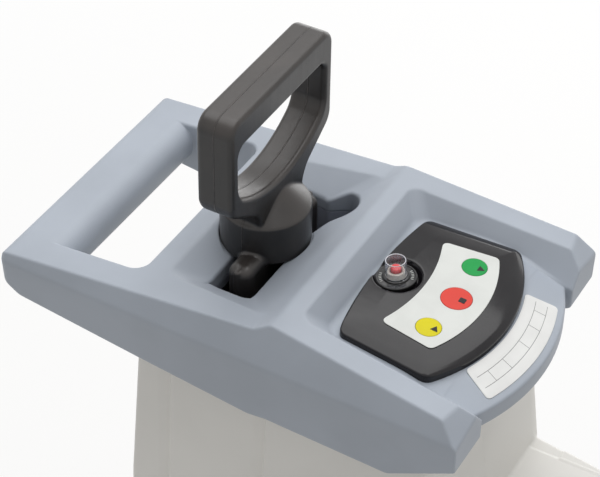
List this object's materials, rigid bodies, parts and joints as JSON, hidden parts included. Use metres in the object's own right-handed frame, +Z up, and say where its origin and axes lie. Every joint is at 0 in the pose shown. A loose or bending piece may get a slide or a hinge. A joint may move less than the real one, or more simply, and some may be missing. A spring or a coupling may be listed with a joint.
{
  "type": "garden shredder",
  "caption": "Electric garden shredder with a dished feed hopper, loop-handled plunger, keypad panel, tower housing over a geared cutting roller, pull-out collection box and rear wheels.",
  "frame": {"origin": "on the floor, under the middle of the machine's outline", "axes": "+Z up, -Y towards the user and the keypad, +Y towards the carrying handle and the wheels, +X to the gearbox side"},
  "size_m": [0.4386, 0.496, 0.95],
  "materials": {
    "cover_plastic": "blue-grey moulded plastic, fine grain",
    "housing_plastic": "pale grey moulded plastic, fine grain",
    "black_plastic": "black semi-gloss plastic",
    "panel_plastic": "black gloss plastic",
    "keypad_film": "white satin film",
    "green_button": "green satin plastic",
    "red_button": "red satin plastic",
    "yellow_button": "yellow satin plastic",
    "clear_plastic": "clear moulded cap",
    "circuit_board": "green board",
    "dark_phenolic": "dark moulded insulator",
    "blank_label": "plain pale plate",
    "zinc_steel": "zinc-plated steel",
    "machined_steel": "machined steel",
    "cast_aluminium": "cast aluminium",
    "base_plastic": "dark grey moulded plastic",
    "box_plastic": "blue-grey moulded plastic",
    "latch_plastic": "red satin plastic",
    "wheel_plastic": "pale grey plastic",
    "tyre_rubber": "black rubber",
    "foot_rubber": "black rubber",
    "motor_paint": "black paint on steel",
    "copper_wire": "enamelled copper",
    "capacitor_shell": "white plastic shell"
  },
  "bodies": {
    "machine": {"top_cover": "cover_plastic", "housing_left": "housing_plastic", "housing_right": "housing_plastic", "power_inlet": "black_plastic", "feed_chute": "black_plastic", "capacitor_saddle": "black_plastic", "axle_spacers": "black_plastic", "breaker_nut": "black_plastic", "control_panel": "panel_plastic", "keypad_film": "keypad_film", "clear_cap": "clear_plastic", "button_board": "circuit_board", "breaker_body": "dark_phenolic", "interlock_switch": "dark_phenolic", "rating_plate": "blank_label", "housing_screws": "zinc_steel", "cover_screws": "zinc_steel", "gearbox_screws": "zinc_steel", "wheel_axle": "zinc_steel", "stator_core": "machined_steel", "shaft_bearings": "machined_steel", "gearbox_housing": "cast_aluminium", "gearbox_cover": "cast_aluminium", "cutting_frame": "cast_aluminium", "base_frame": "base_plastic", "front_feet": "foot_rubber", "motor_can": "motor_paint", "stator_windings": "copper_wire", "capacitor": "capacitor_shell"},
    "plunger": {"plunger": "black_plastic"},
    "start_button": {"start_button": "green_button"},
    "stop_button": {"stop_button": "red_button"},
    "reverse_button": {"reverse_button": "yellow_button"},
    "reset_button": {"reset_button": "red_button"},
    "collection_box": {"collection_box": "box_plastic", "box_grip": "black_plastic"},
    "box_latch": {"box_latch": "latch_plastic"},
    "wheel_left": {"wheel_left": "wheel_plastic", "tyre_left": "tyre_rubber", "hub_cap_left": "cover_plastic"},
    "wheel_right": {"wheel_right": "wheel_plastic", "tyre_right": "tyre_rubber", "hub_cap_right": "cover_plastic"},
    "roller": {"roller_shaft": "machined_steel", "cutting_roller": "machined_steel", "final_gear": "machined_steel"},
    "layshaft": {"layshaft": "machined_steel", "layshaft_gear": "machined_steel", "layshaft_pinion": "machined_steel"},
    "rotor": {"motor_shaft": "machined_steel", "rotor_core": "machined_steel", "motor_fan": "black_plastic", "motor_pinion": "machined_steel"},
    "adjuster": {"adjusting_screw": "zinc_steel", "adjusting_knob": "black_plastic"},
    "pressure_plate": {"pressure_plate": "machined_steel"},
    "inlet_flap": {"inlet_flap": "black_plastic"}
  },
  "joints": [
    {"name": "plunger_lift", "type": "slide", "parent": "machine", "child": "plunger", "axis": [0, 0, 1], "range_m": [0, 0.09]},
    {"name": "start_press", "type": "slide", "parent": "machine", "child": "start_button", "axis": [0, 0.0536, -0.9986], "range_m": [0, 0.001], "stiffness_N_per_m": 1500},
    {"name": "stop_press", "type": "slide", "parent": "machine", "child": "stop_button", "axis": [0, 0.0536, -0.9986], "range_m": [0, 0.001], "stiffness_N_per_m": 1500},
    {"name": "reverse_press", "type": "slide", "parent": "machine", "child": "reverse_button", "axis": [0, 0.0536, -0.9986], "range_m": [0, 0.001], "stiffness_N_per_m": 1500},
    {"name": "reset_press", "type": "slide", "parent": "machine", "child": "reset_button", "axis": [0, 0.0536, -0.9986], "range_m": [0, 0.002], "stiffness_N_per_m": 1000},
    {"name": "box_slide", "type": "slide", "parent": "machine", "child": "collection_box", "axis": [0, -1, 0], "range_m": [0, 0.38]},
    {"name": "latch_slide", "type": "slide", "parent": "machine", "child": "box_latch", "axis": [0, 0, -1], "range_m": [0, 0.014]},
    {"name": "wheel_left_spin", "type": "hinge", "parent": "machine", "child": "wheel_left", "pos_m": [-0.2, 0.16, 0.08], "axis": [1, 0, 0], "continuous": true},
    {"name": "wheel_right_spin", "type": "hinge", "parent": "machine", "child": "wheel_right", "pos_m": [0.2, 0.16, 0.08], "axis": [1, 0, 0], "continuous": true},
    {"name": "roller_spin", "type": "hinge", "parent": "machine", "child": "roller", "pos_m": [0, 0.05, 0.504], "axis": [1, 0, 0], "continuous": true},
    {"name": "layshaft_spin", "type": "hinge", "parent": "machine", "child": "layshaft", "pos_m": [0, -0.044, 0.504], "axis": [1, 0, 0], "continuous": true},
    {"name": "motor_spin", "type": "hinge", "parent": "machine", "child": "rotor", "pos_m": [0, -0.128, 0.504], "axis": [1, 0, 0], "continuous": true},
    {"name": "adjuster_turn", "type": "hinge", "parent": "machine", "child": "adjuster", "pos_m": [-0.01, 0.14, 0.504], "axis": [0, 1, 0], "range_deg": [0, 720]},
    {"name": "pressure_slide", "type": "slide", "parent": "machine", "child": "pressure_plate", "axis": [0, -1, 0], "range_m": [0, 0.003]},
    {"name": "flap_swing", "type": "hinge", "parent": "machine", "child": "inlet_flap", "pos_m": [0, 0.14097, 0.65475], "axis": [1, 0, 0], "range_deg": [0, 110]}
  ],
  "couplings": [
    {"joint": "layshaft_spin", "follows": "roller_spin", "ratio": -4.2222},
    {"joint": "motor_spin", "follows": "roller_spin", "ratio": 21.111},
    {"joint": "adjuster_turn", "follows": "pressure_slide", "rad_per_m": 4188.8}
  ]
}
